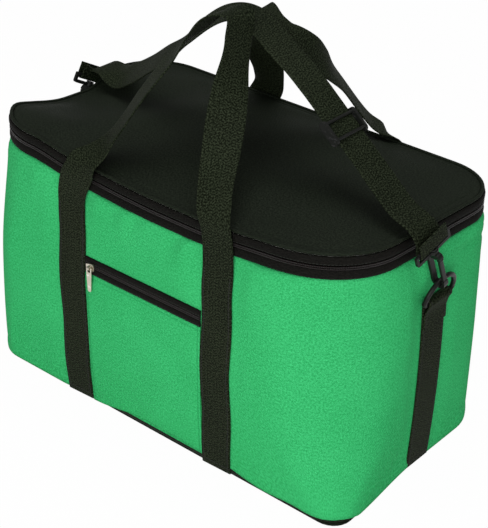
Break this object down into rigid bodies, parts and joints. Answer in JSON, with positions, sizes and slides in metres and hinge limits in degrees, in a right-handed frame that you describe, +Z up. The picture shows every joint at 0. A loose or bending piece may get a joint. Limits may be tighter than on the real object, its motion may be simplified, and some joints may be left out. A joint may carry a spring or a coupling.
{
  "type": "insulated food bag",
  "caption": "Insulated soft food bag with a zipped fold-back lid, padded walls, flat front pocket, webbing carry handles and a clip-on shoulder strap with swivel snap hooks.",
  "frame": {"origin": "middle of the base, on the floor", "axes": "+X along the length to the right as seen from the front, front pocket facing -Y, +Z up"},
  "size_m": [0.5255, 0.2892, 0.4431],
  "materials": {
    "green_fabric": "matt coated polyester weave, bright green",
    "black_fabric": "matt coated polyester weave, near black",
    "webbing": "ribbed polypropylene webbing, charcoal",
    "foam": "white closed-cell foam sheet",
    "liner": "wipe-clean silver film, softly creased",
    "zip_tape": "woven black zip tape",
    "zip_coil": "black nylon coil",
    "zip_metal": "plated zinc, slightly warm and worn",
    "hardware": "moulded black acetal, low sheen"
  },
  "bodies": {
    "bag": {"base_panel": "black_fabric", "base_band": "black_fabric", "base_foam": "foam", "outer_shell": "green_fabric", "front_foam": "foam", "back_foam": "foam", "left_foam": "foam", "right_foam": "foam", "liner": "liner", "rim_binding": "black_fabric", "lower_zip_tape": "zip_tape", "lower_zip_coil": "zip_coil", "hinge_tape": "black_fabric", "front_left_webbing": "webbing", "front_right_webbing": "webbing", "back_left_webbing": "webbing", "back_right_webbing": "webbing", "pocket_panel": "green_fabric", "pocket_lower_tape": "zip_tape", "pocket_lower_coil": "zip_coil", "pocket_upper_coil": "zip_coil", "pocket_upper_tape": "zip_tape", "right_ring_tab": "webbing", "left_ring_tab": "webbing", "right_strap_loop": "hardware", "left_strap_loop": "hardware", "shoulder_strap": "webbing"},
    "lid": {"lid_cover": "black_fabric", "lid_foam": "foam", "lid_liner": "liner", "lid_piping": "black_fabric", "upper_zip_tape": "zip_tape", "upper_zip_coil": "zip_coil"},
    "front_handle": {"front_handle_loop": "webbing"},
    "back_handle": {"back_handle_loop": "webbing"},
    "lid_slider": {"lid_zip_slider": "zip_metal"},
    "lid_pull": {"lid_zip_pull": "zip_metal"},
    "pocket_slider": {"pocket_zip_slider": "zip_metal"},
    "pocket_pull": {"pocket_zip_pull": "zip_metal"},
    "slide": {"strap_slide": "hardware"},
    "right_ring": {"right_ring": "hardware"},
    "left_ring": {"left_ring": "hardware"},
    "right_hook": {"right_snap_hook": "hardware"},
    "left_hook": {"left_snap_hook": "hardware"},
    "right_gate": {"right_hook_gate": "hardware"},
    "left_gate": {"left_hook_gate": "hardware"}
  },
  "joints": [
    {"name": "lid_hinge", "type": "hinge", "parent": "bag", "child": "lid", "pos_m": [0, 0.1358, 0.2578], "axis": [-1, 0, 0], "range_deg": [0, 105], "deforming": ["hinge_tape", "shoulder_strap", "strap_slide"]},
    {"name": "front_handle_swing", "type": "hinge", "parent": "bag", "child": "front_handle", "pos_m": [0, -0.1399, 0.231], "axis": [1, 0, 0], "range_deg": [0, 168]},
    {"name": "back_handle_swing", "type": "hinge", "parent": "bag", "child": "back_handle", "pos_m": [0, 0.1399, 0.2186], "axis": [-1, 0, 0], "range_deg": [0, 168]},
    {"name": "lid_zip_run", "type": "hinge", "parent": "bag", "child": "lid_slider", "pos_m": [-0.18, 0.075, 0.26096], "axis": [0, 0.0518, 0.9987], "range_deg": [-75, 0]},
    {"name": "lid_pull_swing", "type": "hinge", "parent": "lid_slider", "child": "lid_pull", "pos_m": [-0.2445, 0.075, 0.26096], "axis": [0, 0.9987, -0.0518], "range_deg": [0, 150]},
    {"name": "pocket_zip_run", "type": "slide", "parent": "bag", "child": "pocket_slider", "axis": [1, 0, 0], "range_m": [0, 0.138]},
    {"name": "pocket_pull_swing", "type": "hinge", "parent": "pocket_slider", "child": "pocket_pull", "pos_m": [-0.0694, -0.145, 0.17245], "axis": [-1, 0, 0], "range_deg": [0, 150]},
    {"name": "strap_adjust", "type": "slide", "parent": "bag", "child": "slide", "axis": [-0.7667, 0, 0.6421], "range_m": [-0.03, 0.03]},
    {"name": "right_ring_tilt", "type": "hinge", "parent": "bag", "child": "right_ring", "pos_m": [0.24847, 0.008, 0.19938], "axis": [0, 1, 0], "range_deg": [-2, 1]},
    {"name": "left_ring_tilt", "type": "hinge", "parent": "bag", "child": "left_ring", "pos_m": [-0.24847, 0.008, 0.19938], "axis": [0, -1, 0], "range_deg": [-2, 1]},
    {"name": "right_hook_swivel", "type": "hinge", "parent": "bag", "child": "right_hook", "pos_m": [0.25391, -0.01516, 0.26121], "axis": [-0.0171, -0.3635, 0.9314], "range_deg": [-9, 9]},
    {"name": "left_hook_swivel", "type": "hinge", "parent": "bag", "child": "left_hook", "pos_m": [-0.253, 0.03891, 0.25754], "axis": [0.0314, 0.4851, 0.8739], "range_deg": [-9, 9]},
    {"name": "right_gate_press", "type": "hinge", "parent": "right_hook", "child": "right_gate", "pos_m": [0.2604, -0.01319, 0.25458], "axis": [0.0906, 0.9272, 0.3635], "range_deg": [0, 8], "stiffness_Nm_per_rad": 0.02},
    {"name": "left_gate_press", "type": "hinge", "parent": "left_hook", "child": "left_gate", "pos_m": [-0.25957, 0.03628, 0.25122], "axis": [-0.121, -0.866, 0.4851], "range_deg": [0, 8], "stiffness_Nm_per_rad": 0.02}
  ],
  "couplings": [
    {"joint": "front_handle_swing", "follows": "lid_hinge", "ratio": 1.6},
    {"joint": "back_handle_swing", "follows": "lid_hinge", "ratio": 1.6}
  ]
}
